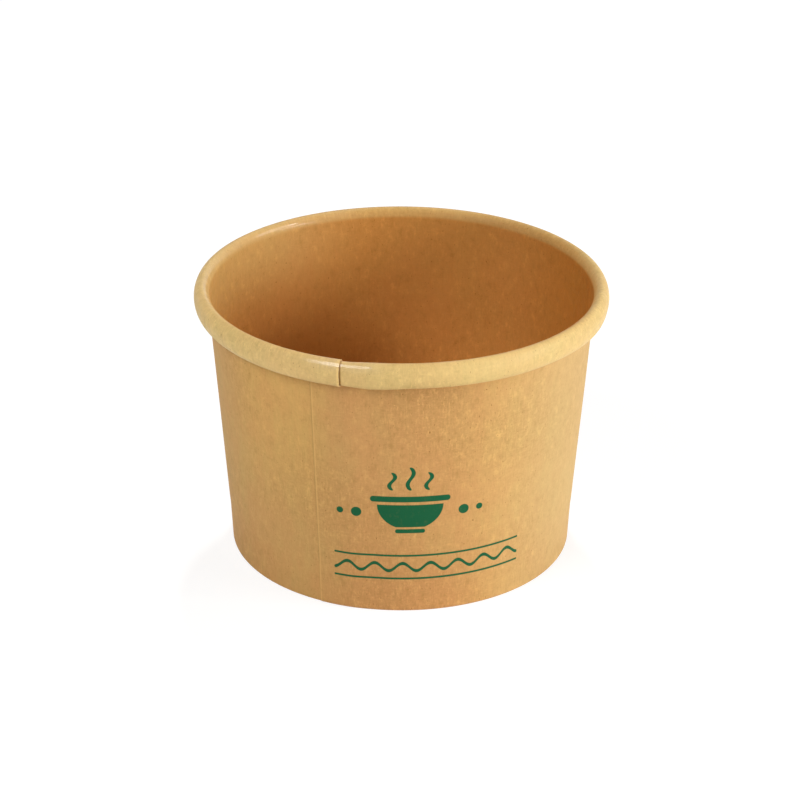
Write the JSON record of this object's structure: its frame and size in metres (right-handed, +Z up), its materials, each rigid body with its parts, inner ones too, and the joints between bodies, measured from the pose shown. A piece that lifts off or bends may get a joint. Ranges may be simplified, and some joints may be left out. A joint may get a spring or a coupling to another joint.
{
  "type": "paper soup cup",
  "caption": "Low, wide paperboard soup cup with a conical lapped side wall, a rolled rim for a lid and a recessed base held in a folded hem.",
  "frame": {"origin": "centre of the foot, on the surface that the cup stands on", "axes": "+Z up along the cup's axis, -Y towards the viewer of the picture, +X to that viewer's right"},
  "size_m": [0.091, 0.091, 0.0615],
  "materials": {
    "wall_board": "matt brown kraft board outside, satin lining inside and over the rolled rim",
    "base_board": "brown kraft board, satin lining on the upper face"
  },
  "bodies": {
    "root": {"side_wall": "wall_board", "base": "base_board"}
  },
  "joints": []
}
